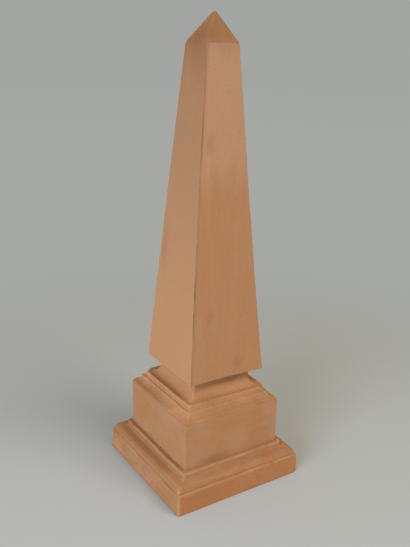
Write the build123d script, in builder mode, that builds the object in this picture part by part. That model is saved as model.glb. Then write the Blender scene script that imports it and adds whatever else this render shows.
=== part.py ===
from build123d import *
from math import atan2, degrees
import os

# A table-top terracotta obelisk, hollow and open underneath, standing on the rim of its plinth.
# It is built in courses, and each course is four pressed sides, bevelled at 45 degrees and luted
# together along the arrises. A course is made whole, cut back along its two diagonals to the front
# side, which faces -Y, and that side is turned about the vertical axis to the other three. The
# floor of the shaft and the pyramidion are single pieces. Millimetres, Z up, with the origin on
# the ground in the middle of the plinth.

# ---- driving dimensions ----

die_width = 121.6
die_height = 54.0
die_wall = 10.0
die_arris = 1.5

# base moulding, from the foot of the die outwards and down
base_ledge = 4.6
base_fillet_height = 4.8
base_cove_radius = 2.0
base_flat = 5.0
shoulder_radius = 5.0
shoulder_riser = 1.6

plinth_ledge = 2.6
plinth_height = 24.2
plinth_wall = 14.0
plinth_arris = 2.5
plinth_top_round = 2.0

# cap moulding, from the top of the die inwards and up
cap_lip_setback = 0.4
cap_lip_height = 0.8
lower_cavetto_radius = 7.6
cap_ledge = 2.6
cap_fillet_height = 6.4
cap_fillet_ledge = 3.8
upper_cavetto_radius = 9.6
cap_foot_width = 13.1
neck_height = 12.5
neck_wall = 10.0

shaft_overhang = 9.9
shaft_height = 343.5
shaft_top_width = 38.2
shaft_wall = 10.0
shaft_arris = 1.2
shaft_floor_thickness = 10.0
shaft_floor_gap = 0.1

pyramidion_height = 28.0
pyramidion_tip_width = 3.6
pyramidion_tip_round = 1.0

# the faces of shaft and pyramidion bend into each other with this radius, and the shaft's top width
# is the one where they would meet without it
point_bend_radius = 12.0

# how far the edges of the mouldings are rubbed round: along them, and at their mitred corners
moulding_round = 0.6
mitre_round = 2.0

side_turns = {"front": 0, "right": 90, "back": 180, "left": 270}
match_tolerance = 0.001

# ---- half widths and heights that follow from them ----

die_half = die_width / 2
die_hollow_half = die_half - die_wall
base_fillet_half = die_half + base_ledge
shoulder_half = base_fillet_half + base_cove_radius + base_flat + shoulder_radius
plinth_width = 2 * (shoulder_half + plinth_ledge)
cap_lip_half = die_half - cap_lip_setback
lower_cavetto_half = cap_lip_half - lower_cavetto_radius
cap_fillet_half = lower_cavetto_half - cap_ledge
upper_cavetto_half = cap_fillet_half - cap_fillet_ledge
neck_half = upper_cavetto_half - upper_cavetto_radius
shaft_foot_width = 2 * (neck_half + shaft_overhang)

base_height = shoulder_riser + shoulder_radius + base_cove_radius + base_fillet_height
cap_ledge_height = cap_lip_height + lower_cavetto_radius
cap_fillet_top = cap_ledge_height + cap_fillet_height
cap_hollow_height = cap_fillet_top + upper_cavetto_radius
cap_height = cap_hollow_height + neck_height

base_z = plinth_height
die_z = base_z + base_height
cap_z = die_z + die_height
shaft_z = cap_z + cap_height
pyramidion_z = shaft_z + shaft_height


def section_plane(height):
    """Upright plane across the front side: X runs out from the centre to the front, Y runs up."""
    return Plane(origin=(0, 0, height), x_dir=(0, -1, 0), z_dir=(-1, 0, 0))


def round_square(half, height):
    """Closed square path at a height, which starts and ends in the middle of the front side."""
    corners = [(half, -half), (half, half), (-half, half), (-half, -half)]
    return Polyline([(x, y, height) for x, y in [(0, -half), *corners, (0, -half)]])


def mitre_arrises(course, least_half):
    """Edges on the diagonals of the square, all of them at least that far out from the middle."""

    def is_outer_mitre(edge):
        points = [edge @ along for along in (0, 0.5, 1)]
        on_diagonal = [abs(abs(point.X) - abs(point.Y)) < match_tolerance for point in points]
        return all(on_diagonal) and min(abs(point.X) for point in points) > least_half

    return course.edges().filter_by(is_outer_mitre)


def at_height(shapes, height):
    """Those of the faces or edges whose middle lies at a height."""
    return shapes.filter_by_position(Axis.Z, height - match_tolerance, height + match_tolerance)


def rim(course, height):
    """Outer edges of the course's level face at a height."""
    level_face = at_height(course.faces().filter_by(Axis.Z), height)[0]
    return level_face.outer_wire().edges()


def taper_angle(foot_width, top_width, height):
    """Slope in degrees of the faces of a square course that narrows from foot to top."""
    return degrees(atan2((foot_width - top_width) / 2, height))


def keep_front_side():
    """Cut the course being built back to its front side, along the two diagonals of the square."""
    with BuildSketch() as quarter:
        Polygon((0, 0), (-plinth_width, -plinth_width), (plinth_width, -plinth_width), align=None)
    extrude(quarter.sketch, amount=pyramidion_z, mode=Mode.INTERSECT)


def write_sides(front, course):
    """Turn the front side to all four sides of the square and write each one."""
    for side, turn in side_turns.items():
        piece = front.rotate(Axis.Z, turn)
        piece.label = f"{course}_{side}"
        export_step(piece, f"parts/{piece.label}.step")


os.makedirs("parts", exist_ok=True)

# ---- plinth: a plain square frame, its upper edge rubbed round ----

with BuildPart() as plinth_front:
    with BuildSketch():
        RectangleRounded(plinth_width, plinth_width, plinth_arris)
        Rectangle(plinth_width - 2 * plinth_wall, plinth_width - 2 * plinth_wall, mode=Mode.SUBTRACT)
    extrude(amount=plinth_height)
    fillet(rim(plinth_front, plinth_height), plinth_top_round)
    keep_front_side()
write_sides(plinth_front.part, "plinth")

# ---- base moulding: quarter round, flat, cove and fillet; the die stands on its inner edge ----

with BuildPart() as base_moulding_front:
    with BuildLine():
        base_path = round_square(base_fillet_half, base_z)
    with BuildSketch(section_plane(base_z)):
        with BuildLine():
            foot = Polyline((die_hollow_half, 0), (shoulder_half, 0), (shoulder_half, shoulder_riser))
            shoulder = JernArc(foot @ 1, (0, 1), shoulder_radius, 90)
            flat = Line(shoulder @ 1, shoulder @ 1 - Vector(base_flat, 0))
            cove = JernArc(flat @ 1, (-1, 0), base_cove_radius, -90)
            Polyline(cove @ 1, (base_fillet_half, base_height), (die_hollow_half, base_height), foot @ 0)
        make_face()
    sweep(path=base_path, transition=Transition.RIGHT)
    fillet(mitre_arrises(base_moulding_front, die_half), mitre_round)
    fillet(rim(base_moulding_front, die_z), moulding_round)
    keep_front_side()
write_sides(base_moulding_front.part, "base_moulding")

# ---- die: four plain walls ----

with BuildPart() as die_front:
    with BuildSketch(Plane.XY.offset(die_z)):
        RectangleRounded(die_width, die_width, die_arris)
        Rectangle(2 * die_hollow_half, 2 * die_hollow_half, mode=Mode.SUBTRACT)
    extrude(amount=die_height)
    keep_front_side()
write_sides(die_front.part, "die")

# ---- cap moulding: cavetto, ledge, fillet, ledge, cavetto and neck, hollowed behind ----

with BuildPart() as cap_moulding_front:
    with BuildLine():
        cap_path = round_square(cap_fillet_half, cap_z)
    with BuildSketch(section_plane(cap_z)):
        with BuildLine():
            lip = Polyline(
                (cap_lip_half - cap_foot_width, 0),
                (cap_lip_half, 0),
                (cap_lip_half, cap_lip_height),
            )
            lower_cavetto = JernArc(lip @ 1, (-1, 0), lower_cavetto_radius, -90)
            cap_fillet = Polyline(
                lower_cavetto @ 1,
                (cap_fillet_half, cap_ledge_height),
                (cap_fillet_half, cap_fillet_top),
                (upper_cavetto_half, cap_fillet_top),
            )
            upper_cavetto = JernArc(cap_fillet @ 1, (-1, 0), upper_cavetto_radius, -90)
            Polyline(
                upper_cavetto @ 1,
                (neck_half, cap_height),
                (neck_half - neck_wall, cap_height),
                (neck_half - neck_wall, cap_hollow_height),
                lip @ 0,
            )
        make_face()
    sweep(path=cap_path, transition=Transition.RIGHT)
    fillet(mitre_arrises(cap_moulding_front, neck_half - neck_wall), mitre_round)
    fillet(rim(cap_moulding_front, cap_z + cap_fillet_top), moulding_round)
    keep_front_side()
write_sides(cap_moulding_front.part, "cap_moulding")

# ---- spire: the outside of shaft and pyramidion in one, so that they bend into each other ----

with BuildPart() as spire:
    with BuildSketch(Plane.XY.offset(shaft_z)):
        Rectangle(shaft_foot_width, shaft_foot_width)
    extrude(amount=shaft_height, taper=taper_angle(shaft_foot_width, shaft_top_width, shaft_height))
    with BuildSketch(Plane.XY.offset(pyramidion_z)):
        Rectangle(shaft_top_width, shaft_top_width)
    extrude(
        amount=pyramidion_height,
        taper=taper_angle(shaft_top_width, pyramidion_tip_width, pyramidion_height),
    )
    fillet(at_height(spire.edges(), pyramidion_z), point_bend_radius)
    fillet(mitre_arrises(spire, 0), shaft_arris)
    fillet(rim(spire, pyramidion_z + pyramidion_height), pyramidion_tip_round)

# ---- shaft: the spire's four tapering walls ----

with BuildPart() as shaft_front:
    add(spire.part)
    split(bisect_by=Plane.XY.offset(pyramidion_z), keep=Keep.BOTTOM)
    with BuildSketch(Plane.XY.offset(shaft_z)):
        Rectangle(shaft_foot_width - 2 * shaft_wall, shaft_foot_width - 2 * shaft_wall)
    extrude(
        amount=shaft_height,
        taper=taper_angle(shaft_foot_width, shaft_top_width, shaft_height),
        mode=Mode.SUBTRACT,
    )
    keep_front_side()
write_sides(shaft_front.part, "shaft")

# ---- shaft floor: one slab set in between the feet of the walls ----

shaft_floor_width = shaft_foot_width - 2 * shaft_wall - 2 * shaft_floor_gap

with BuildPart() as shaft_floor:
    with BuildSketch(Plane.XY.offset(shaft_z)):
        Rectangle(shaft_floor_width, shaft_floor_width)
    extrude(
        amount=shaft_floor_thickness,
        taper=taper_angle(shaft_foot_width, shaft_top_width, shaft_height),
    )
shaft_floor.part.label = "shaft_floor"
export_step(shaft_floor.part, "parts/shaft_floor.step")

# ---- pyramidion: the spire's solid point, rubbed blunt ----

with BuildPart() as pyramidion:
    add(spire.part)
    split(bisect_by=Plane.XY.offset(pyramidion_z), keep=Keep.TOP)
pyramidion.part.label = "pyramidion"
export_step(pyramidion.part, "parts/pyramidion.step")
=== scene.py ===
"""Dresses the packed table-top obelisk as terracotta, pressed in courses of four sides."""

import math
from collections import namedtuple
from functools import partial

import bpy
import bmesh
import numpy as np
from bpy.props import FloatProperty, FloatVectorProperty, PointerProperty
from bpy.types import Operator, Panel, PropertyGroup
from mathutils import Matrix, Vector, noise


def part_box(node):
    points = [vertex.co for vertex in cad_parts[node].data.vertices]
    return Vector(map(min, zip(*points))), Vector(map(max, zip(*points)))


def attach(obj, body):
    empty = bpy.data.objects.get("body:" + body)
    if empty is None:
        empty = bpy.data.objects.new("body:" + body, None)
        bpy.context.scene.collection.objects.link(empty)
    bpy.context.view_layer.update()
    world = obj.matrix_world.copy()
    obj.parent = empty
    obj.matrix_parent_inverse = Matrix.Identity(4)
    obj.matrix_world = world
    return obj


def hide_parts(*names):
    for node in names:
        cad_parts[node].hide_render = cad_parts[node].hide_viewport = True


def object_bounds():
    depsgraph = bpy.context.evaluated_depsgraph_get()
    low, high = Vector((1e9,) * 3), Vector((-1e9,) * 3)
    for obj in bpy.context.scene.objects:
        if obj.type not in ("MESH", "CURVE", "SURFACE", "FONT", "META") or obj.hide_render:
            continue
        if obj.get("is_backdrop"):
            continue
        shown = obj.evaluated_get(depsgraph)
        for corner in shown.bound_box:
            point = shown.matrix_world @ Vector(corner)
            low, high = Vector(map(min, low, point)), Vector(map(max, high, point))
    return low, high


bl_info = {
    "name": "Terracotta Obelisk",
    "version": (1, 0, 0),
    "blender": (4, 5, 0),
    "location": "View3D > Sidebar > Obelisk",
    "description": "Builds a table-top obelisk in unglazed terracotta, one course at a time",
    "category": "Object",
}

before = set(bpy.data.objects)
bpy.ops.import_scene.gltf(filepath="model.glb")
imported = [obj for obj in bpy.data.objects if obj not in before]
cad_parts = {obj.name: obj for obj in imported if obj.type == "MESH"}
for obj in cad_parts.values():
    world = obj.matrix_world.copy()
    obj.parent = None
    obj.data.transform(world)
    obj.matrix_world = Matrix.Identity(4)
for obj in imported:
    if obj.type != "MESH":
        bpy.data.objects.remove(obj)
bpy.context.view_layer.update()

MM = 0.001
METRE = 1000  # in millimetres
SIDES = ("front", "right", "back", "left")  # in quarter turns about the vertical axis
# corners of the square, each between one side and the next
RIGHT_CORNER, BACK_CORNER, LEFT_CORNER, FRONT_CORNER = range(4)

ARC_POINTS = 24  # along each rounded corner of a section
FINE_STEP = 0.1 * MM  # between a section's points, before they are thinned out
ARRIS_TURNS = np.linspace(0, math.pi / 4, 6)[1:]  # of the columns that go round an arris
INNER_ARRIS = 4 * MM  # radius of the corners inside the walls
SHARP_BEND = math.radians(40)  # faces that meet at more than this are shaded as an edge
EDGE_REACH, HOLLOW_REACH = 1.6 * MM, 3.0 * MM  # how far rubbing, and dust with painted shade, spread from a corner
FAR_AWAY = (9, 9)  # metres, for a section without a corner of that kind
# How far in a section's outline runs along a joint, or how close to the hollow.
JOINT_RUN, SHAFT_JOINT_RUN, HOLLOW_GAP = 4 * MM, 6 * MM, 2 * MM
CAP_FOOT_WALL = 13 * MM  # thickness of the cap moulding at its foot
POINT_RIM = 7 * MM  # width of the strip that each side of the pyramidion adds to its foot
WELD = 0.02 * MM  # points of those sides that are closer than this are joined
# The blunt tip: half its width, how far past the frame it is drawn before it is sponged, and half
# the hole that is filled in its middle.
BLUNT_HALF, TIP_RISE, TIP_GAP = 1.2 * MM, 0.9 * MM, 0.3 * MM

ARRIS_REACH = 2.2 * MM  # how far from an arris it is rubbed
ARRIS_ROUNDING = 0.35 * MM  # most that rubbing takes off an arris along its length
RIPPLE = 0.3  # depth of a warp four times as fine, as a share of the main one
CHIPPED = (0.32, 0.52)  # noise where a chip starts and where it is at its deepest
# Size of the lumps of each kind of mark (the crack's in millimetres), and where in the noise each
# kind is drawn.
THUMB_SPAN, ROUNDING_SPAN, GRIME_SPAN, CRACK_SPAN = 14 * MM, 30 * MM, 24 * MM, 9
WARP_SEED, RIPPLE_SEED, THUMB_SEED, CHIP_SEED = 3.1, 8.7, 5.5, 11.9
ROUNDING_SEED, GRIME_SEED, CRACK_SEED = 21.3, 17.2, 7.3
SEAM_DARKENS = (350 * MM, 420 * MM)  # heights between which the line of dust gets darker
SEAM_FADE = 5 * MM  # how far from a crack its side is still drawn back
# Where the crack along the front arris gapes, in millimetres: where each gap starts and is full,
# where it begins to close and is shut, and its share of the full width.
GAPS = ((184, 190, 205, 211, 1.0), (222, 226, 231, 236, 0.8))
LEAN = np.array([0.84, -0.54, 0.0])  # the way that the shaft bows and its foot kicks out
FOOT_FADE = 14  # how fast the kick dies out over the shaft's height

SALTS_REACH = 60 * MM  # how far clouds of salts shift the edge of a cast
EVERYWHERE = (-0.2, -0.1)  # heights for a cast that is full over the whole of a piece
PAPER_RADIUS, PAPER_SIDES = 12, 96
PAPER_FADE, PAPER_RISE = (0.2, 0.8), (2.0, 7.0)  # metres from the obelisk
SENSOR_HEIGHT = 24  # millimetres

# One corner of a section: half the course's width there, height, radius, and what happened to
# it: "edge" for one that hands and sponge rub, "hollow" for one where dust stays and painted
# shade darkens the crease.
Corner = namedtuple("Corner", "half height radius touch", defaults=(0.0, None))
# A section's points on the outside and inside of the wall, how rubbed each one is, and how much
# dust and painted shade it gets.
Section = namedtuple("Section", "outside inside rubbed dusty")
# What one side of a course is made from: columns is its number of points across, wear how much its
# arrises were chipped and rubbed, and shape a function that moves its finished points.
Course = namedtuple("Course", "name section arris_radius columns wear shape")
# A corner that was knocked or rubbed down: of which course and which corner, where its edge ran,
# how steeply the worn place faces up, how deep it is and how far up and down it reaches.
Knock = namedtuple("Knock", "course corner half height lift depth reach")
# A dark patch, in millimetres: its middle, its size and how dark it is. Most are smudges that a
# hand or a wet cloth left; the three in the hollows of the cap moulding are painted shade.
Smudge = namedtuple("Smudge", "middle size share")
DARK_PATCHES = (
    Smudge((-36, 27, 260), (6, 5, 24), 0.5),  # shaft, left side
    Smudge((-16, -27, 377), (5, 6, 9), 0.4),  # shaft, front, high up
    Smudge((-21, -41, 200), (4, 6, 8), 0.4),  # shaft, front
    Smudge((13, -46, 142), (5, 6, 6), 0.5),  # shaft, front, at its foot
    Smudge((-22, -60, 41), (17, 5, 5), 2.4),  # die, front, at its foot
    Smudge((-59, 40, 92), (4, 45, 2), 1.8),  # lower hollow, left side: painted shade
    Smudge((0, -38, 118), (60, 5, 4), 2.2),  # upper hollow, front: painted shade under the shaft
    Smudge((-38, 0, 121), (5, 60, 4), 1.1),  # upper hollow, left side: painted shade under the shaft
    Smudge((-45, -80, 12), (30, 6, 16), 1.0),  # plinth, front
    Smudge((-15, 0, 478), (9, 16, 11), 1.2),  # pyramidion, left side
    Smudge((30, 44, 300), (12, 12, 20), 0.4),  # shaft, back
    Smudge((61, 18, 60), (6, 18, 9), 0.4),  # die, right side
)


def linear(srgb_hex):
    """Linear colour of an sRGB hex value."""
    shares = [int(srgb_hex[i : i + 2], 16) / 255 for i in (1, 3, 5)]
    return [c / 12.92 if c <= 0.04045 else ((c + 0.055) / 1.055) ** 2.4 for c in shares]


def length(name, millimetres, description):
    """A length that the user can set."""
    return FloatProperty(
        name=name, description=description, default=millimetres * MM, unit="LENGTH", precision=5
    )


def colour(name, srgb_hex, description):
    """A colour that the user can set."""
    return FloatVectorProperty(
        name=name, description=description, default=linear(srgb_hex), subtype="COLOR", min=0, max=1
    )


def place(name, metres, description):
    """A place that the user can set."""
    return FloatVectorProperty(
        name=name, description=description, default=metres, subtype="XYZ", unit="LENGTH",
        precision=4,
    )


def angle(name, degrees, description):
    """An angle that the user can set."""
    return FloatProperty(
        name=name, description=description, default=math.radians(degrees), subtype="ANGLE"
    )


class ObeliskMouldings(PropertyGroup):
    """Steps and curves of the two mouldings, each counted from the course below or inside it."""

    base_ledge: length("Base ledge", 4.6, "Top of the base moulding that shows round the die")
    base_cove: length("Base cove", 2.0, "Radius of the cove under the fillet")
    shoulder: length("Shoulder", 5.0, "Radius of the rounded shoulder")
    riser: length("Riser", 1.6, "Upright strip under the shoulder")
    lip_height: length("Lip height", 0.8, "Upright edge where the cap meets the die")
    lower_cavetto: length("Lower cavetto", 7.6, "Radius of the hollow above the die")
    cap_ledge: length("Cap ledge", 2.6, "Level strip above the lower cavetto")
    cap_fillet: length("Cap fillet", 6.4, "Height of the upright fillet")
    cap_fillet_ledge: length("Upper ledge", 3.8, "Level strip above the fillet")
    cap_crease: length("Crease", 0.3, "Drop of that strip to the foot of the upper hollow")
    neck_wall: length("Neck wall", 10.0, "Thickness of the cap moulding round its neck")


class ObeliskHandWork(PropertyGroup):
    """What pressing, luting, sponging and handling did to the clay."""

    sponging: length("Sponging", 0.45, "How far the damp sponge softened the edges")
    moulding_arris: length("Moulding arrises", 2.2, "Radius of the mouldings' mitred corners")
    plain_arris: length("Plain arrises", 1.0, "Radius of the die's upright corners")
    plinth_arris: length("Plinth arrises", 2.6, "Radius of the plinth's upright corners")
    plinth_batter: length("Plinth batter", 1.1, "How much farther out the plinth's foot stands")
    plinth_edge: length("Plinth edge", 2.4, "Radius of the plinth's upper edge")
    shaft_arris: length("Shaft arrises", 0.6, "Radius of the corners of shaft and pyramidion")
    point_bend: length("Bend of the point", 12, "Radius where the shaft turns into the pyramidion")
    warp: length("Warp", 0.3, "How far a pressed face wanders from flat")
    warp_span: length("Warp span", 75, "Distance over which a face wanders in and out")
    thumbing: length("Thumbing", 0.9, "Depth of the finger marks inside the walls")
    chip: length("Chips", 0.6, "Depth of the chips along the arrises")
    chip_span: length("Chip span", 7, "Rough length of one chip")
    bow: length("Shaft bow", 0.7, "How far the middle of the shaft leans to one side")
    foot_flare: length("Foot flare", 1.1, "How far the foot's right-hand corner kicks out")
    foot_droop: length("Foot droop", 1.8, "How far that corner hangs down")
    tip_lean: length("Tip lean", 1.3, "How far the point sits off the centre")
    shoulder_slip: length("Shoulder slip", 1.6, "How far luting pushed out the left shoulder")
    cap_lift: length("Cap lift", 0.7, "How much higher the cap's fillet was laid than meant")
    cap_tilt: angle("Cap tilt", 1.03, "How far the cap's fillet drops to the right")
    base_tilt: angle("Base tilt", 0.1, "How far the plinth's top drops to the right")
    seam: length("Seam", 2.2, "Width of the dark line of dust along the luted front arris")
    hairline: length("Hairline", 0.12, "Width of the crack along the luted arris of the shaft")
    open_seam: length("Open seam", 0.65, "Width of that crack where it has opened")


class ObeliskClay(PropertyGroup):
    """Colours of the fired clay, what lies on it, and its painted light and shade."""

    body: colour("Body", "#B37F54", "The fired clay itself")
    # painted light: paler clay laid low on the shaft's left and right sides and towards the cap's
    # neck
    painted_light: colour("Fresh", "#C68F62", "Cleaner clay, low on the shaft and sheltered by it")
    bloom: colour("Bloom", "#BD8F6D", "Pale salts that came to the surface as it dried")
    iron: colour("Iron", "#B97038", "Redder patches, richer in iron")
    # also the colour of the painted shade in the hollows and high on the shaft's left and right
    # sides
    dust: colour("Dust", "#8B5E3A", "Grey-brown dust in hollows and on the point")
    raw: colour("Raw", "#A97044", "Unsponged clay inside the walls")
    chalk: colour("Chalk", "#CF9E72", "Rubbed and chipped clay along the edges")


class ObeliskStudio(PropertyGroup):
    """Floor, light and camera."""

    paper: colour("Paper", "#C5C8CA", "Pale grey paper on the table")
    mid_paper: colour("Middle paper", "#A6A8A4", "The same paper behind the obelisk")
    far_paper: colour("Far paper", "#A3A5A2", "The same paper where it rises at the back")
    key: FloatProperty(
        name="Key light", description="Large lamp high in front", default=15.0, unit="POWER"
    )
    side: FloatProperty(
        name="Side light", description="Window-sized lamp on the left", default=29.7, unit="POWER"
    )
    sky: FloatProperty(
        name="Room light", description="Strength of the light from all round", default=0.369
    )
    key_tint: colour("Key tint", "#FFF9F0", "Warm lamp")
    side_tint: colour("Side tint", "#DCEAFF", "Cool daylight")
    sky_tint: colour("Room tint", "#FFF6DA", "Light that came back off warm walls")
    key_place: place("Key place", (0.5, -1.15, 1.6), "Where the key lamp hangs")
    side_place: place("Side place", (-1.6, -0.8, 0.6), "Where the side lamp hangs")
    camera_place: place("Camera", (-0.3934, -0.6000, 0.4790), "Where the camera stands")
    camera_heading: angle("Heading", 33.13, "Turn of the camera from +Y towards +X")
    camera_pitch: angle("Pitch", 18.95, "How far the camera looks down")
    camera_roll: angle("Roll", 1.46, "How far the camera is tilted")
    focal_length: FloatProperty(
        name="Focal length", description="On a sensor 24 mm high", default=30.55, unit="CAMERA"
    )


# ---- sections of the courses ----


def rounded_path(corners):
    """Points along a section whose corners are rounded to their radii."""
    path = [np.array(corners[0][:2])]
    for before, corner, after in zip(corners, corners[1:], corners[2:]):
        here = np.array(corner[:2])
        if corner.radius:
            back, on = np.array(before[:2]) - here, np.array(after[:2]) - here
            back, on = back / np.linalg.norm(back), on / np.linalg.norm(on)
            half_angle = math.acos(back @ on) / 2
            middle = (back + on) / np.linalg.norm(back + on)
            centre = here + middle * corner.radius / math.sin(half_angle)
            first = here + back * corner.radius / math.tan(half_angle) - centre
            last = here + on * corner.radius / math.tan(half_angle) - centre
            turn = math.pi - 2 * half_angle
            for share in np.linspace(0, 1, ARC_POINTS):
                arm = first * math.sin((1 - share) * turn) + last * math.sin(share * turn)
                path.append(centre + arm / math.sin(turn))
        else:
            path.append(here)
    return np.array(path + [np.array(corners[-1][:2])])


def walk(path, stations):
    """Points at these distances along a path."""
    distance = np.append(0, np.cumsum(np.linalg.norm(np.diff(path, axis=0), axis=1)))
    return np.column_stack([np.interp(stations, distance, path[:, i]) for i in (0, 1)])


def level_run(half, height, run=6 * MM):
    """Points inwards from an edge at one height."""
    halves = np.arange(half, half - run, -FINE_STEP)
    return np.column_stack([halves, np.full(len(halves), height)])


def make_section(
    corners, inside, sponging, cut=None, keep_below=True, longest_step=1.3 * MM,
    turn_step=math.radians(9),
):
    """A section whose edges are softened by the sponge, with its points closest on the bends.

    A cut is the height of a joint: only what lies below it is kept, or above it, and closed level.
    """
    path = rounded_path(corners)
    total = np.linalg.norm(np.diff(path, axis=0), axis=1).sum()
    fine = walk(path, np.linspace(0, total, round(total / FINE_STEP) + 1))
    reach = math.ceil(3 * sponging / FINE_STEP)  # past that the sponge hardly touches
    sponge = np.exp(-0.5 * (np.arange(-reach, reach + 1) * FINE_STEP / sponging) ** 2)
    padded = np.pad(fine, ((reach, reach), (0, 0)), mode="reflect", reflect_type="odd")
    soft = [np.convolve(padded[:, i], sponge / sponge.sum(), mode="valid") for i in (0, 1)]
    fine = np.column_stack(soft)
    if cut and keep_below:
        fine = fine[fine[:, 1] < cut]
        fine = np.vstack([fine, level_run(fine[-1, 0], cut)])
    elif cut:
        fine = fine[fine[:, 1] > cut]
        fine = np.vstack([level_run(fine[0, 0], cut)[::-1], fine])
    slope = np.gradient(fine, axis=0)
    turning = np.abs(np.gradient(np.unwrap(np.arctan2(slope[:, 1], slope[:, 0]))))
    cost = np.cumsum(FINE_STEP / longest_step + turning / turn_step)
    even = np.linspace(cost[0], cost[-1], math.ceil(cost[-1]) + 1)
    order = np.arange(len(fine))
    kept = np.interp(even, cost, order)
    outside = np.column_stack([np.interp(kept, order, fine[:, i]) for i in (0, 1)])

    def nearness(touch, reach):
        """1 at the corners with that touch, fading to 0 over the reach."""
        marked = np.array([c[:2] for c in corners if c.touch == touch] or [FAR_AWAY])
        gap = np.linalg.norm(outside[:, None] - marked[None], axis=2).min(axis=1)
        return np.exp(-((gap / reach) ** 2))

    rubbed, dusty = nearness("edge", EDGE_REACH), nearness("hollow", HOLLOW_REACH)
    return Section(outside, np.array(inside), rubbed, dusty)


def inner_wall(top_half, top, bottom_half, bottom, step=6 * MM):
    """Points down the inside of a wall."""
    share = np.linspace(0, 1, max(2, round((top - bottom) / step)))
    return [(top_half + (bottom_half - top_half) * s, top + (bottom - top) * s) for s in share]


def outer_half(node):
    """Half the width of a course, from its right-hand side."""
    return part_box(node)[1].x


def inner_half(node):
    """Half the width of the hollow inside a course, from its right-hand side."""
    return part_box(node)[0].x


def heights(node):
    """Bottom and top of a node in the frame."""
    low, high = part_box(node)
    return low.z, high.z


def measured(course):
    """Foot, top, and half the outer and the inner width of a course in the frame."""
    side = f"{course}_right"
    return *heights(side), outer_half(side), inner_half(side)


# ---- pressed walls ----


def field(points, span, seed):
    """Smooth noise from -1 to 1 at each point; span is the size of its lumps."""
    flat = (points.reshape(-1, 3) / span + seed).tolist()
    values = np.fromiter((noise.noise(p) for p in flat), float, len(flat))
    return values.reshape(points.shape[:-1])


def ramp(value, low, high):
    """0 below low, 1 above high and a smooth step between them."""
    share = np.clip((value - low) / (high - low), 0, 1)
    return share * share * (3 - 2 * share)


def turned(points, side):
    """Points made for the front side, turned to another side of the square."""
    x, y, z = np.moveaxis(points, -1, 0)
    for _ in range(SIDES.index(side)):
        x, y = -y, x
    return np.stack([x, y, z], axis=-1)


def side_grid(halves, levels, radii, columns):
    """Points across a front side, one row for each half width and height, and each column's turn.

    The first and last columns lie on the diagonals of the square, in the middle of its arrises.
    """
    turn = ARRIS_TURNS
    share = np.linspace(-1, 1, columns)
    # columns stand closer together towards the arrises
    share = 0.55 * share + 0.45 * np.sin(share * math.pi / 2)
    straight = (halves - radii)[:, None]
    along = np.hstack([
        -straight - radii[:, None] * np.sin(turn[::-1]),
        straight * share,
        straight + radii[:, None] * np.sin(turn),
    ])
    out = np.hstack([
        straight + radii[:, None] * np.cos(turn[::-1]),
        np.repeat(halves[:, None], columns, axis=1),
        straight + radii[:, None] * np.cos(turn),
    ])
    up = np.repeat(levels[:, None], along.shape[1], axis=1)
    turns = np.concatenate([-turn[::-1], np.zeros(columns), turn])
    return np.stack([along, -out, up], axis=-1), turns


def seam_width(height, corner, hand):
    """Width of the crack along one arris of the shaft; only the front one has opened."""
    if corner != FRONT_CORNER:
        return np.zeros_like(height)
    level = height / MM
    wander = np.array([noise.noise((0, CRACK_SEED, z / CRACK_SPAN)) for z in level])
    opened = sum(
        width * ramp(level, start, full) * ramp(-level, -shut, -closing)
        for start, full, closing, shut, width in GAPS
    )
    showing = ramp(wander, -0.45, 0.1)  # elsewhere the hairline is worn shut
    return hand.hairline * showing + hand.open_seam * opened * (0.8 + 0.5 * wander)


def corner_direction(corner, lift=0.0):
    """Direction out of a corner of the square, tilted up by lift."""
    x, y = ((1, -1), (1, 1), (-1, 1), (-1, -1))[corner]
    return np.array([x, y, math.sqrt(2) * lift]) / math.sqrt(2 + 2 * lift * lift)


def knocked(grid, knock, softness=0.5 * MM):
    """Points with one corner rubbed down to a soft flat place."""
    direction = corner_direction(knock.corner, knock.lift)
    edge = corner_direction(knock.corner) * math.sqrt(2) * knock.half + (0, 0, knock.height)
    beyond = (grid - edge) @ direction + knock.depth
    away = np.abs(grid[..., 2] - knock.height)
    near = 1 - ramp(away, knock.reach - softness, knock.reach + softness)
    return grid - direction * (near * softness * np.logaddexp(0, beyond / softness))[..., None]


def settled(grid, hand):
    """Points of the pedestal as it was luted: neither its top nor its mouldings are quite level."""
    base_top, cap_foot = heights("base_moulding_right")[1], heights("cap_moulding_right")[0]
    plinth_top, cap_top = heights("plinth_right")[1], heights("cap_moulding_right")[1]
    fillet = 0.6 * cap_foot + 0.4 * cap_top  # roughly
    # how much the clay tilts and how far it was lifted at each of these heights
    levels = [0, plinth_top, base_top, cap_foot, fillet, cap_top]
    tilts = [0, hand.base_tilt, hand.base_tilt, hand.cap_tilt * 0.6, hand.cap_tilt, 0]
    lifts = [0, 0, 0, 0.5 * hand.cap_lift, hand.cap_lift, 0]
    tilt, lift = (np.interp(grid[..., 2], levels, values) for values in (tilts, lifts))
    shoulder = outer_half("base_moulding_right")
    pushed = ramp(-grid[..., 0], 0.8 * shoulder, shoulder)
    pushed *= ramp(grid[..., 2], plinth_top - 1 * MM, plinth_top)
    pushed *= 1 - ramp(grid[..., 2], 0.4 * plinth_top + 0.6 * base_top, base_top)
    grid = grid.copy()
    grid[..., 0] -= hand.shoulder_slip * pushed
    grid[..., 2] += lift - tilt * grid[..., 0]
    return grid


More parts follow.
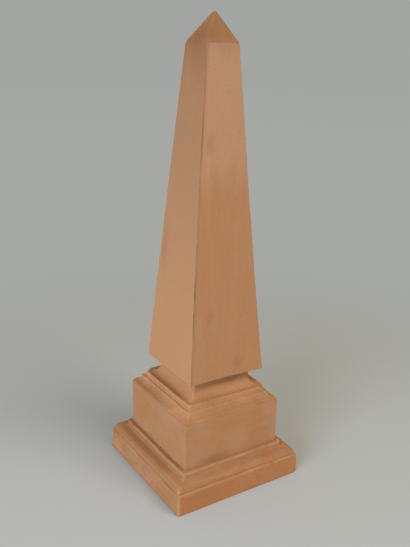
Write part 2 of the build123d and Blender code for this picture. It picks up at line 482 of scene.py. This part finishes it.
def press_side(course, side, hand):
    """Points of one side, row by row round its section, with the marks for its material."""
    section = course.section
    outside, inside = section.outside, section.inside
    rows = len(outside)
    loop = np.vstack([outside, inside])
    radii = np.append(np.full(rows, course.arris_radius), np.full(len(inside), INNER_ARRIS))
    radii = np.minimum(radii, loop[:, 0] * 0.8)  # smaller near the tip, where there is no room
    grid, turns = side_grid(loop[:, 0], loop[:, 1], radii, course.columns)
    slope = np.gradient(outside, axis=0)
    slope /= np.linalg.norm(slope, axis=1)[:, None]
    outward, upward = slope[:, 1][:, None], -slope[:, 0][:, None]
    normal = np.zeros_like(grid)
    normal[:rows, :, 0] = outward * np.sin(turns)
    normal[:rows, :, 1] = -outward * np.cos(turns)
    normal[:rows, :, 2] = upward
    normal[rows:, :, 0], normal[rows:, :, 1] = -np.sin(turns), np.cos(turns)
    from_arris = loop[:, 0][:, None] - np.abs(grid[..., 0])
    arris = np.exp(-((from_arris / ARRIS_REACH) ** 2))
    left_end = grid[..., 0] < 0
    grid, normal = turned(grid, side), turned(normal, side)

    rubbed, dusty, raw = (np.zeros(grid.shape[:2]) for _ in range(3))
    standing = np.abs(outward)  # an arris runs only where the section stands up
    rubbed[:rows] = np.maximum(section.rubbed[:, None], arris[:rows] * standing) * course.wear
    dusty[:rows] = section.dusty[:, None]
    if course.name == "shaft" and side == "front":
        # the line of dust along the seam comes and goes
        darker = 0.4 * ramp(grid[..., 2], *SEAM_DARKENS)
        wander = 0.65 + 0.6 * field(grid, GRIME_SPAN, GRIME_SEED) + darker
        line = left_end * np.exp(-((from_arris / hand.seam) ** 2)) * np.clip(wander, 0.2, 1)
        dusty[:rows] = np.maximum(dusty, line)[:rows]
    # smudges, and the painted shade in the hollows of the cap moulding
    for dark_patch in DARK_PATCHES:
        gap = (grid / MM - dark_patch.middle) / dark_patch.size
        mark = dark_patch.share * np.exp(-(gap ** 2).sum(axis=-1))
        dusty[:rows] = np.maximum(dusty, mark)[:rows]
    raw[rows:] = 1

    warp = hand.warp * field(grid, hand.warp_span, WARP_SEED)
    warp += RIPPLE * hand.warp * field(grid, hand.warp_span / 4, RIPPLE_SEED)
    lumps = hand.thumbing * field(grid, THUMB_SPAN, THUMB_SEED)
    chipping = ramp(field(grid, hand.chip_span, CHIP_SEED), *CHIPPED) * rubbed
    rounding = (0.5 + 0.5 * field(grid, ROUNDING_SPAN, ROUNDING_SEED)) * arris
    rounding *= course.wear * ARRIS_ROUNDING
    rounding[:rows] *= standing
    push = np.where(raw > 0, lumps, warp - hand.chip * chipping - rounding)
    grid = grid + normal * push[..., None]
    grid[..., 2] = np.clip(grid[..., 2], loop[:, 1].min(), loop[:, 1].max())
    rubbed = np.clip(rubbed + chipping, 0, 1)
    return grid, loop, from_arris, {"rubbed": rubbed, "dusty": dusty, "raw": raw}


def open_seams(grid, side, loop, from_arris, hand):
    """Draw a shaft side back from its two arrises, so that the cracks along them stand open."""
    turns = SIDES.index(side)
    shift = np.zeros(grid.shape[:2])
    fade = np.exp(-np.maximum(from_arris, 0) / SEAM_FADE)
    middle = grid.shape[1] // 2
    ends = (turns, slice(middle, None), -1), ((turns - 1) % 4, slice(0, middle), 1)
    for corner, half, sign in ends:
        width = seam_width(loop[:, 1], corner, hand)[:, None]
        shift[:, half] += sign * 0.5 * math.sqrt(2) * width * fade[:, half]
    along = turned(np.array([[[1.0, 0.0, 0.0]]]), side)
    return grid + along * shift[..., None]


def wall_mesh(name, grid, marks):
    """A closed wall from points in rows round its section, which ends in flat mitres."""
    rows, columns = grid.shape[:2]
    index = np.arange(rows * columns).reshape(rows, columns)
    above = np.roll(index, -1, axis=0)
    quads = np.stack([index[:, :-1], index[:, 1:], above[:, 1:], above[:, :-1]], axis=-1)
    faces = quads.reshape(-1, 4).tolist()
    ends = [index[:, 0].tolist(), index[::-1, -1].tolist()]
    mesh = bpy.data.meshes.new(name)
    mesh.from_pydata(grid.reshape(-1, 3).tolist(), [], faces + ends)
    mesh.polygons.foreach_set("use_smooth", [True] * len(faces) + [False] * len(ends))
    mesh.set_sharp_from_angle(angle=SHARP_BEND)
    for mark, values in marks.items():
        mesh.attributes.new(mark, "FLOAT", "POINT").data.foreach_set("value", values.ravel())
    return mesh


def add_piece(name, mesh, material, *nodes):
    """Put a mesh in the scene as a piece that stands for these nodes."""
    mesh.materials.append(material)
    piece = bpy.data.objects.new(name, mesh)
    bpy.context.scene.collection.objects.link(piece)
    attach(piece, "root")
    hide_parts(*nodes)
    return piece


def add_course(course, materials, hand, cracked=False):
    """Build the four sides of a course, each in its own side's material."""
    for side, material in zip(SIDES, materials):
        grid, loop, from_arris, marks = press_side(course, side, hand)
        if cracked:
            grid = open_seams(grid, side, loop, from_arris, hand)
        mesh = wall_mesh(f"{course.name}_{side}_wall", course.shape(grid, course.name, hand), marks)
        add_piece(f"pressed_{course.name}_{side}", mesh, material, f"{course.name}_{side}")


def leaned(grid, _, hand):
    """Shaft and point as they dried: bowed, kicked out at one foot corner and off centre on top."""
    foot, top = heights("shaft_right")
    tip = heights("pyramidion")[1]
    share = np.clip((grid[..., 2] - foot) / (top - foot), 0, 1)
    beyond = np.clip((grid[..., 2] - top) / (tip - top), 0, 1)
    sideways = hand.tip_lean * beyond - hand.bow * np.sin(math.pi * share)
    near_corner = (grid @ corner_direction(RIGHT_CORNER)) / math.sqrt(2)
    foot_half = outer_half("shaft_right")
    fade = np.exp(-share * FOOT_FADE)
    kick = hand.foot_flare * fade * ramp(near_corner, 0.5 * foot_half, foot_half)
    droop = hand.foot_droop * fade * ramp(near_corner, 0.4 * foot_half, foot_half)
    return grid + LEAN * (sideways + kick)[..., None] - (0, 0, 1) * droop[..., None]


def worn_corners():
    """Corners of the pedestal that were knocked or rubbed down."""
    plinth, plinth_top = outer_half("plinth_right"), heights("plinth_right")[1]
    sizes = bpy.context.scene.obelisk_mouldings
    shoulder = outer_half("base_moulding_right")
    shoulder_top = plinth_top + sizes.riser + sizes.shoulder
    lip, cap_foot = outer_half("cap_moulding_right"), heights("cap_moulding_right")[0]
    fillet = lip - sizes.lower_cavetto - sizes.cap_ledge
    fillet_top = cap_foot + sizes.lip_height + sizes.lower_cavetto + sizes.cap_fillet
    die_top, low = cap_foot, sizes.cap_fillet
    return [
        Knock("plinth", LEFT_CORNER, plinth, plinth_top, 0.25, 3.2 * MM, 30 * MM),
        Knock("plinth", RIGHT_CORNER, plinth, plinth_top, 1.2, 2.2 * MM, 24 * MM),
        Knock("plinth", RIGHT_CORNER, plinth, 0, -0.8, 1.6 * MM, 8 * MM),
        Knock("base_moulding", LEFT_CORNER, shoulder, shoulder_top, 1.2, 4.2 * MM, 9 * MM),
        Knock("base_moulding", RIGHT_CORNER, shoulder, shoulder_top, 1.2, 3.5 * MM, 9 * MM),
        Knock("die", LEFT_CORNER, outer_half("die_right"), die_top, 0.6, 1.2 * MM, 5 * MM),
        Knock("cap_moulding", LEFT_CORNER, lip, cap_foot, 0.8, 1.4 * MM, 3 * MM),
        Knock("cap_moulding", LEFT_CORNER, fillet, fillet_top, 1.1, 4.2 * MM, low),
        Knock("cap_moulding", RIGHT_CORNER, fillet, fillet_top, 1.0, 4.2 * MM, low),
        Knock("cap_moulding", FRONT_CORNER, fillet, fillet_top, 0.7, 1.0 * MM, low),
        Knock("cap_moulding", BACK_CORNER, fillet, fillet_top, 0.7, 1.6 * MM, low),
    ]


def luted(grid, course_name, hand):
    """Points of a pedestal course once its corners were worn and it was luted in its place."""
    for knock in worn_corners():
        if knock.course == course_name:
            grid = knocked(grid, knock)
    return settled(grid, hand)


# ---- fired clay ----


def add_node(tree, kind, inputs=None, **settings):
    """Add a shader node with its settings, and link or set its inputs."""
    node = tree.nodes.new(kind)
    for name, value in settings.items():
        setattr(node, name, value)
    for name, value in (inputs or {}).items():
        if isinstance(value, bpy.types.NodeSocket):
            tree.links.new(value, node.inputs[name])
        else:
            node.inputs[name].default_value = value
    return node


def emptied(owner):
    """Clear the nodes of a material or world, and give a function that adds new ones."""
    owner.use_nodes = True
    owner.node_tree.nodes.clear()
    return partial(add_node, owner.node_tree)


def fired_clay(
    name, clay, iron=0.3, bloom=0.5, cloud=(35, 35, 35), strokes=(60, 60, 2.5), stroke_share=0.25,
    dust=0.12, chalk=0.45, casts=(),
):
    """Unglazed terracotta: low-fired earthenware, pressed in a mould and wiped with a damp sponge.

    The eye gets a dead matt, warm surface that is never one colour: salts bloom pale on it, iron
    shows through redder, the sponge leaves faint strokes and rubbed edges turn chalky, and the
    marked hollows and patches get dust, and in places painted shade. iron, bloom, stroke_share and
    chalk say how much of each there is, and dust how much dust and painted shade. cloud and strokes
    are the sizes of a cloud of salts and of a sponge stroke in millimetres. Each cast is a colour,
    the height where it starts, the height where it is full, and its share; some casts are painted
    light and some painted shade.
    """
    material = bpy.data.materials.new(name)
    add = emptied(material)
    place = add("ShaderNodeTexCoord").outputs["Object"]
    height = add("ShaderNodeSeparateXYZ", {"Vector": place}).outputs["Z"]

    drift = add("ShaderNodeMapping", {"Vector": place, "Scale": [METRE / c for c in cloud]})
    elsewhere = add("ShaderNodeVectorMath", {0: place, 1: (0.31, 0.17, 0.05)}, operation="ADD")
    laid = add("ShaderNodeMapping", {"Vector": place, "Scale": [METRE / s for s in strokes]})
    noises = (
        # salts dry out in clouds some 35 mm across
        (drift.outputs[0], 1, 4, 0.6, 0),
        # iron shows in smaller ones, 22 mm across
        (elsewhere.outputs[0], METRE / 22, 5, 0.62, 0),
        # one stroke of the sponge, a few millimetres wide and as long as the hand moved
        (laid.outputs[0], 1, 3, 0.5, 0.35),
        # grog and sand in the clay are 0.2 to 0.5 mm; drawn at 1.3 mm so that they show at all
        (place, METRE / 1.3, 2, 0.7, 0),
    )
    names = "Vector", "Scale", "Detail", "Roughness", "Distortion"
    salts, rust, stroke, grit = (
        add("ShaderNodeTexNoise", dict(zip(names, values))).outputs["Fac"] for values in noises
    )

    # each layer of colour: what it follows, where that starts and is full, how much it covers there
    smooth, straight = "SMOOTHSTEP", "LINEAR"
    layers = [
        (salts, 0.4, 0.66, bloom, clay.bloom, smooth),
        (rust, 0.5, 0.7, iron, clay.iron, smooth),
        (stroke, 0.35, 0.65, stroke_share, clay.dust, straight),
    ]
    level = add("ShaderNodeMath", {0: salts, 1: SALTS_REACH, 2: height}, operation="MULTIPLY_ADD")
    # casts over a band of height; some of them are painted light and some painted shade
    for tint, low, high, share in casts:
        start, full = low + SALTS_REACH / 2, high + SALTS_REACH / 2
        layers.append((level.outputs[0], start, full, share, tint, smooth))
    shade = (*clay.body, 1)
    for followed, start, full, share, tint, curve in layers:
        cover = add(
            "ShaderNodeMapRange",
            {"Value": followed, "From Min": start, "From Max": full, "To Max": share},
            interpolation_type=curve,
        ).outputs[0]
        laid_over = {0: cover, 6: shade, 7: (*tint, 1)}
        shade = add("ShaderNodeMix", laid_over, data_type="RGBA").outputs[2]

    # dust and painted shade in the hollows and dark patches, thicker where there are salts
    hollow = add("ShaderNodeAttribute", attribute_name="dusty").outputs["Fac"]
    salty_dust_and_shade = add("ShaderNodeMath", {0: hollow, 1: salts}, operation="MULTIPLY").outputs[0]
    dust_and_shade_cover = add(
        "ShaderNodeMath", {0: salty_dust_and_shade, 1: 4 * dust}, operation="MULTIPLY", use_clamp=True
    )
    # edges rubbed and chipped back to paler clay, in patches
    edge = add("ShaderNodeAttribute", attribute_name="rubbed").outputs["Fac"]
    patchy = add(
        "ShaderNodeMapRange",
        {"Value": rust, "From Min": 0.62, "From Max": 0.38, "To Min": 0.1 * chalk, "To Max": chalk},
    )
    rubbed = add("ShaderNodeMath", {0: edge, 1: patchy.outputs[0]}, operation="MULTIPLY")
    for cover, tint in ((dust_and_shade_cover, clay.dust), (rubbed, clay.chalk)):
        laid_over = {0: cover.outputs[0], 6: shade, 7: (*tint, 1)}
        shade = add("ShaderNodeMix", laid_over, data_type="RGBA").outputs[2]
    speckle = add(
        "ShaderNodeMapRange",
        {"Value": grit, "From Min": 0.3, "From Max": 0.7, "To Min": 0.93, "To Max": 1.07},
    ).outputs[0]
    speckled = add("ShaderNodeVectorMath", {0: shade, "Scale": speckle}, operation="SCALE")
    inside = add("ShaderNodeAttribute", attribute_name="raw").outputs["Fac"]
    unsponged = {0: inside, 6: speckled.outputs[0], 7: (*clay.raw, 1)}
    surface = add("ShaderNodeMix", unsponged, data_type="RGBA")

    # bare earthenware is very rough; hands make its edges a little smoother
    roughness = add("ShaderNodeMapRange", {"Value": edge, "To Min": 0.9, "To Max": 0.78})
    ridges = add("ShaderNodeMath", {0: stroke, 1: 0.6}, operation="MULTIPLY").outputs[0]
    relief = add("ShaderNodeMath", {0: grit, 1: 0.4, 2: ridges}, operation="MULTIPLY_ADD")
    bump = add(
        "ShaderNodeBump", {"Height": relief.outputs[0], "Strength": 0.5, "Distance": 0.25 * MM}
    )
    clay_shader = add(
        "ShaderNodeBsdfPrincipled",
        {
            "Base Color": surface.outputs[2], "Roughness": roughness.outputs[0],
            "Normal": bump.outputs[0], "IOR": 1.5, "Diffuse Roughness": 0.5,
            "Specular IOR Level": 0.3,
        },
    )
    add("ShaderNodeOutputMaterial", {"Surface": clay_shader.outputs[0]})
    return material


# ---- the pieces ----

# Shaft and pyramidion were wiped upwards in long strokes, are less rubbed and gather more dust.
UPWARDS = {"strokes": (4, 4, 90), "stroke_share": 0.08, "dust": 0.3, "chalk": 0.1}


class OBELISK_OT_plinth(Operator):
    """Build the plinth: four plain blocks with rubbed edges"""

    bl_idname = "obelisk.plinth"
    bl_label = "Plinth"
    bl_options = {"REGISTER", "UNDO"}

    def execute(self, context):
        hand, clay = context.scene.obelisk_hand_work, context.scene.obelisk_clay
        foot, top, half, hollow = measured("plinth")
        corners = [
            Corner(hollow + HOLLOW_GAP, foot),
            # its foot is marked hollow: painted contact shade, with dust, along where it meets the
            # paper
            Corner(half + 0.5 * hand.plinth_batter, foot, 0, "hollow"),
            Corner(half - 0.5 * hand.plinth_batter, top, hand.plinth_edge, "edge"),
            Corner(hollow + HOLLOW_GAP, top),
        ]
        section = make_section(corners, inner_wall(hollow, top, hollow, foot), 0.5 * hand.sponging)
        redder = (clay.iron, *EVERYWHERE, 0.3)
        rusty = fired_clay(
            "terracotta_plinth_rusty", clay, iron=0.75, bloom=0.2, chalk=0.9, casts=(redder,)
        )
        pale = fired_clay("terracotta_plinth_pale", clay, iron=0.7, bloom=0.7, chalk=0.7)
        sides = rusty, pale, rusty, pale
        course = Course("plinth", section, hand.plinth_arris, columns=120, wear=0.8, shape=luted)
        add_course(course, sides, hand)
        return {"FINISHED"}


class OBELISK_OT_base_moulding(Operator):
    """Build the base moulding: rounded shoulder, flat, cove and fillet"""

    bl_idname = "obelisk.base_moulding"
    bl_label = "Base moulding"
    bl_options = {"REGISTER", "UNDO"}

    def execute(self, context):
        hand, clay = context.scene.obelisk_hand_work, context.scene.obelisk_clay
        sizes = context.scene.obelisk_mouldings
        foot, top, half, hollow = measured("base_moulding")
        die = outer_half("die_right")
        fillet = die + sizes.base_ledge
        shoulder_top = foot + sizes.riser + sizes.shoulder
        # the corners marked hollow get dust and painted shade in their creases
        corners = [
            Corner(hollow + HOLLOW_GAP, foot),
            Corner(half, foot, 0, "hollow"),
            Corner(half, shoulder_top, sizes.shoulder),
            Corner(fillet, shoulder_top, sizes.base_cove, "hollow"),
            Corner(fillet, top, 0, "edge"),
            Corner(die, top, 0, "hollow"),
            Corner(hollow + HOLLOW_GAP, top),
        ]
        section = make_section(corners, inner_wall(hollow, top, hollow, foot), 0.7 * hand.sponging)
        material = fired_clay(
            "terracotta_base_moulding", clay, iron=0.5, bloom=0.4, dust=0.05, chalk=0.9
        )
        course = Course(
            "base_moulding", section, hand.moulding_arris, columns=110, wear=0.8, shape=luted
        )
        add_course(course, [material] * 4, hand)
        return {"FINISHED"}


class OBELISK_OT_die(Operator):
    """Build the die: four plain walls"""

    bl_idname = "obelisk.die"
    bl_label = "Die"
    bl_options = {"REGISTER", "UNDO"}

    def execute(self, context):
        hand, clay = context.scene.obelisk_hand_work, context.scene.obelisk_clay
        foot, top, half, hollow = measured("die")
        # its foot is marked hollow: dust and painted shade in the crease
        corners = [
            Corner(half - JOINT_RUN, foot),
            Corner(half, foot, 0, "hollow"),
            Corner(half, top),
            Corner(half - JOINT_RUN, top),
        ]
        section = make_section(corners, inner_wall(hollow, top, hollow, foot), hand.sponging)
        material = fired_clay(
            "terracotta_die", clay, bloom=0.4, strokes=(40, 40, 6), stroke_share=0.1
        )
        course = Course("die", section, hand.plain_arris, columns=100, wear=0.3, shape=luted)
        add_course(course, [material] * 4, hand)
        return {"FINISHED"}


class OBELISK_OT_cap_moulding(Operator):
    """Build the cap moulding: two hollows with an upright fillet between them, and the neck"""

    bl_idname = "obelisk.cap_moulding"
    bl_label = "Cap moulding"
    bl_options = {"REGISTER", "UNDO"}

    def execute(self, context):
        hand, clay = context.scene.obelisk_hand_work, context.scene.obelisk_clay
        sizes = context.scene.obelisk_mouldings
        foot, top, lip, hollow = measured("cap_moulding")
        neck = hollow + sizes.neck_wall
        lower_cavetto = lip - sizes.lower_cavetto
        fillet = lower_cavetto - sizes.cap_ledge
        ledge = foot + sizes.lip_height + sizes.lower_cavetto
        fillet_top = ledge + sizes.cap_fillet
        upper_cavetto = fillet - sizes.cap_fillet_ledge - neck
        foot_hollow = lip - CAP_FOOT_WALL
        # the corners marked hollow get dust and painted shade; the one at the neck lies under the
        # shaft
        corners = [
            Corner(lip - JOINT_RUN, foot),
            Corner(lip, foot),
            Corner(lip, foot + sizes.lip_height, 0, "edge"),
            Corner(lower_cavetto, foot + sizes.lip_height, sizes.lower_cavetto),
            Corner(lower_cavetto, ledge, 0, "edge"),
            Corner(fillet, ledge),
            Corner(fillet, fillet_top, 0, "edge"),
            Corner(neck + upper_cavetto, fillet_top - sizes.cap_crease, 0, "hollow"),
            Corner(neck, fillet_top - sizes.cap_crease, upper_cavetto),
            Corner(neck, top, 0, "hollow"),
            Corner(hollow + JOINT_RUN, top),
        ]
        # the hollow is plain behind the neck and widens below it
        neck_foot = fillet_top + upper_cavetto
        inside = inner_wall(hollow, top, hollow, neck_foot, step=4 * MM)
        inside += inner_wall(hollow, neck_foot - 1 * MM, foot_hollow, foot, step=4 * MM)
        section = make_section(corners, inside, 0.7 * hand.sponging)
        # painted light: paler clay that grows towards the neck, where the shaft's overhang shades
        # the cap
        painted_light_under_shaft = clay.painted_light, foot - 5 * MM, top - 10 * MM, 0.85
        material = fired_clay(
            "terracotta_cap_moulding", clay, iron=0.15, bloom=0.4, dust=0.16, chalk=0.9,
            casts=(painted_light_under_shaft,),
        )
        course = Course(
            "cap_moulding", section, hand.moulding_arris, columns=90, wear=0.6, shape=luted
        )
        add_course(course, [material] * 4, hand)
        return {"FINISHED"}


def spire(hand):
    """Corners of the section through shaft and pyramidion, which bend into each other."""
    foot, joint = heights("shaft_right")
    foot_half, top = outer_half("shaft_right"), heights("pyramidion")[1]
    # the bend takes this much off the width where the two faces would meet
    turn = math.atan2(outer_half("pyramidion"), top - joint)
    meeting_half = outer_half("pyramidion") + hand.point_bend * (1 / math.cos(turn / 2) - 1)
    return [
        Corner(foot_half - SHAFT_JOINT_RUN, foot),
        Corner(foot_half, foot),
        Corner(meeting_half, joint, hand.point_bend),
        Corner(BLUNT_HALF, top + TIP_RISE, 0, "edge"),
        Corner(TIP_GAP, top + TIP_RISE),
    ]


class OBELISK_OT_shaft(Operator):
    """Build the shaft: four tapering walls, cracked along the luted arris in front"""

    bl_idname = "obelisk.shaft"
    bl_label = "Shaft"
    bl_options = {"REGISTER", "UNDO"}

    def execute(self, context):
        hand, clay = context.scene.obelisk_hand_work, context.scene.obelisk_clay
        foot, top, foot_half, top_half = measured("shaft")
        wall = outer_half("pyramidion") - top_half
        inside = inner_wall(top_half, top, foot_half - wall, foot, step=7 * MM)
        section = make_section(spire(hand), inside, hand.sponging, cut=top)
        wiped = partial(fired_clay, clay=clay, iron=0.2, bloom=0.3, cloud=(14, 14, 110), **UPWARDS)
        # two sides have a patch of salts under the point; the other two have painted light towards
        # the foot and painted shade towards the top
        salts = (clay.bloom, *EVERYWHERE, 0.15), (clay.bloom, 0.68 * top, 0.79 * top, 0.75)
        grey = clay.dust, top - 20 * MM, top + 5 * MM, 0.25
        salty = wiped("terracotta_shaft_salty", casts=(*salts, grey))
        # painted light: paler clay low on these two sides; below, painted shade: grey-brown towards
        # the top
        bloom_and_painted_light = (clay.bloom, *EVERYWHERE, 0.5), (clay.painted_light, 0.8 * top, 0.3 * top, 0.6)
        painted_shade_high_up = (clay.dust, 0.4 * top, top, 0.3), (clay.dust, top - 50 * MM, top, 0.4)
        lit_low_shaded_high = wiped("terracotta_shaft_handled", casts=(*bloom_and_painted_light, *painted_shade_high_up))
        course = Course("shaft", section, hand.shaft_arris, columns=60, wear=0.25, shape=leaned)
        add_course(course, (salty, lit_low_shaded_high, salty, lit_low_shaded_high), hand, cracked=True)
        return {"FINISHED"}


class OBELISK_OT_shaft_floor(Operator):
    """Give the shaft's floor, which shows only from underneath, its unsponged clay"""

    bl_idname = "obelisk.shaft_floor"
    bl_label = "Shaft floor"
    bl_options = {"REGISTER", "UNDO"}

    def execute(self, context):
        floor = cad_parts["shaft_floor"]
        clay = context.scene.obelisk_clay
        material = fired_clay("terracotta_unsponged", clay, bloom=0.2, strokes=(12, 12, 12))
        floor.data.materials.clear()
        floor.data.materials.append(material)
        return {"FINISHED"}


class OBELISK_OT_pyramidion(Operator):
    """Build the pyramidion: one solid point, rubbed blunt"""

    bl_idname = "obelisk.pyramidion"
    bl_label = "Pyramidion"
    bl_options = {"REGISTER", "UNDO"}

    def execute(self, context):
        hand, clay = context.scene.obelisk_hand_work, context.scene.obelisk_clay
        foot = heights("pyramidion")[0]
        inside = [(outer_half("pyramidion") - POINT_RIM, foot)]
        section = make_section(
            spire(hand), inside, hand.sponging, cut=foot, keep_below=False, longest_step=0.7 * MM
        )
        course = Course("pyramidion", section, hand.shaft_arris, columns=50, wear=0.5, shape=leaned)
        joined = bmesh.new()
        for side in SIDES:
            grid, _, _, marks = press_side(course, side, hand)
            wall = wall_mesh("pyramidion_side", leaned(grid, course.name, hand), marks)
            joined.from_mesh(wall)
            bpy.data.meshes.remove(wall)
        mitres = [f for f in joined.faces if len(f.verts) > 4]
        bmesh.ops.delete(joined, geom=mitres, context="FACES")
        bmesh.ops.remove_doubles(joined, verts=joined.verts, dist=WELD)
        rims = [e for e in joined.edges if e.is_boundary]
        bmesh.ops.holes_fill(joined, edges=rims, sides=0)
        mesh = bpy.data.meshes.new("pyramidion_point")
        joined.to_mesh(mesh)
        joined.free()
        mesh.set_sharp_from_angle(angle=SHARP_BEND)
        grey = clay.dust, foot - 20 * MM, foot + 5 * MM, 0.52
        material = fired_clay(
            "terracotta_pyramidion", clay, iron=0.3, bloom=0.1, casts=(grey,), **UPWARDS
        )
        add_piece("pressed_pyramidion", mesh, material, "pyramidion")
        return {"FINISHED"}


class OBELISK_OT_stage(Operator):
    """Lay the paper, hang the lamps and set up the camera"""

    bl_idname = "obelisk.stage"
    bl_label = "Stage"
    bl_options = {"REGISTER", "UNDO"}

    def execute(self, context):
        studio = context.scene.obelisk_studio
        scene = context.scene
        scene.view_settings.view_transform = "Standard"
        low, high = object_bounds()
        middle = (low + high) / 2

        disc = bmesh.new()
        bmesh.ops.create_circle(disc, cap_ends=True, radius=PAPER_RADIUS, segments=PAPER_SIDES)
        mesh = bpy.data.meshes.new("paper")
        disc.to_mesh(mesh)
        disc.free()
        paper = bpy.data.objects.new("paper", mesh)
        paper.location.z = low.z
        scene.collection.objects.link(paper)
        paper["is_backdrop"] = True
        # matt background paper; far off it fades into the one tone of the room behind it
        material = bpy.data.materials.new("background_paper")
        add = emptied(material)
        place = add("ShaderNodeTexCoord").outputs["Object"]
        away = add("ShaderNodeVectorMath", {0: place}, operation="LENGTH").outputs["Value"]
        far, rise = (
            add(
                "ShaderNodeMapRange",
                {"Value": away, "From Min": start, "From Max": end},
                interpolation_type="SMOOTHSTEP",
            )
            for start, end in (PAPER_FADE, PAPER_RISE)
        )
        near_paper = add("ShaderNodeBsdfDiffuse", {"Color": (*studio.paper, 1)})
        tone = add(
            "ShaderNodeMix",
            {0: rise.outputs[0], 6: (*studio.mid_paper, 1), 7: (*studio.far_paper, 1)},
            data_type="RGBA",
        )
        far_paper = add("ShaderNodeEmission", {"Color": tone.outputs[2]})
        shaders = {0: far.outputs[0], 1: near_paper.outputs[0], 2: far_paper.outputs[0]}
        mixed = add("ShaderNodeMixShader", shaders)
        add("ShaderNodeOutputMaterial", {"Surface": mixed.outputs[0]})
        mesh.materials.append(material)

        world = bpy.data.worlds.new("room")
        add = emptied(world)
        seen = add("ShaderNodeLightPath").outputs["Is Camera Ray"]
        tint = (*studio.sky_tint, 1)
        room = add("ShaderNodeBackground", {"Color": tint, "Strength": studio.sky})
        wall = add("ShaderNodeBackground", {"Color": (*studio.far_paper, 1), "Strength": 1})
        both = add("ShaderNodeMixShader", {0: seen, 1: room.outputs[0], 2: wall.outputs[0]})
        add("ShaderNodeOutputWorld", {"Surface": both.outputs[0]})
        scene.world = world

        lamps = (
            ("key_lamp", studio.key, studio.key_tint, Vector(studio.key_place), 1.0, 1.0),
            ("side_lamp", studio.side, studio.side_tint, Vector(studio.side_place), 1.1, 0.8),
        )
        for name, power, tint, hung, width, tall in lamps:
            light = bpy.data.lights.new(name, "AREA")
            light.color = tint
            light.energy, light.shape, light.size, light.size_y = power, "RECTANGLE", width, tall
            lamp = bpy.data.objects.new(name, light)
            lamp.location = hung
            lamp.rotation_euler = (middle - hung).to_track_quat("-Z", "Y").to_euler()
            scene.collection.objects.link(lamp)

        camera = bpy.data.cameras.new("camera")
        camera.sensor_fit, camera.sensor_height = "VERTICAL", SENSOR_HEIGHT
        camera.lens = studio.focal_length
        stand = bpy.data.objects.new("camera", camera)
        tilt = Matrix.Rotation(math.pi / 2 - studio.camera_pitch, 4, "X")
        heading = Matrix.Rotation(-studio.camera_heading, 4, "Z")
        roll = Matrix.Rotation(studio.camera_roll, 4, "Z")
        stand.matrix_world = Matrix.Translation(studio.camera_place) @ heading @ tilt @ roll
        scene.collection.objects.link(stand)
        scene.camera = stand
        return {"FINISHED"}


STEPS = (
    OBELISK_OT_plinth,
    OBELISK_OT_base_moulding,
    OBELISK_OT_die,
    OBELISK_OT_cap_moulding,
    OBELISK_OT_shaft,
    OBELISK_OT_shaft_floor,
    OBELISK_OT_pyramidion,
    OBELISK_OT_stage,
)
SETTINGS = {
    "obelisk_mouldings": ObeliskMouldings,
    "obelisk_hand_work": ObeliskHandWork,
    "obelisk_clay": ObeliskClay,
    "obelisk_studio": ObeliskStudio,
}


class OBELISK_PT_panel(Panel):
    """Builds the obelisk from the ground up"""

    bl_label = "Terracotta obelisk"
    bl_idname = "OBELISK_PT_panel"
    bl_space_type = "VIEW_3D"
    bl_region_type = "UI"
    bl_category = "Obelisk"

    def draw(self, context):
        for step in STEPS:
            self.layout.operator(step.bl_idname)
        for group_name, group in SETTINGS.items():
            box = self.layout.box()
            box.label(text=group.__doc__)
            for setting in group.__annotations__:
                box.prop(getattr(context.scene, group_name), setting)


def register():
    """Register the settings, the steps and the panel."""
    for group_name, group in SETTINGS.items():
        bpy.utils.register_class(group)
        setattr(bpy.types.Scene, group_name, PointerProperty(type=group))
    for step in STEPS:
        bpy.utils.register_class(step)
    bpy.utils.register_class(OBELISK_PT_panel)


def unregister():
    """Take them all out again."""
    bpy.utils.unregister_class(OBELISK_PT_panel)
    for step in reversed(STEPS):
        bpy.utils.unregister_class(step)
    for group_name, group in reversed(SETTINGS.items()):
        delattr(bpy.types.Scene, group_name)
        bpy.utils.unregister_class(group)


def main():
    """Register the steps and build every piece in order."""
    register()
    for step in STEPS:
        family, name = step.bl_idname.split(".")
        getattr(getattr(bpy.ops, family), name)()


if __name__ == "__main__":
    main()
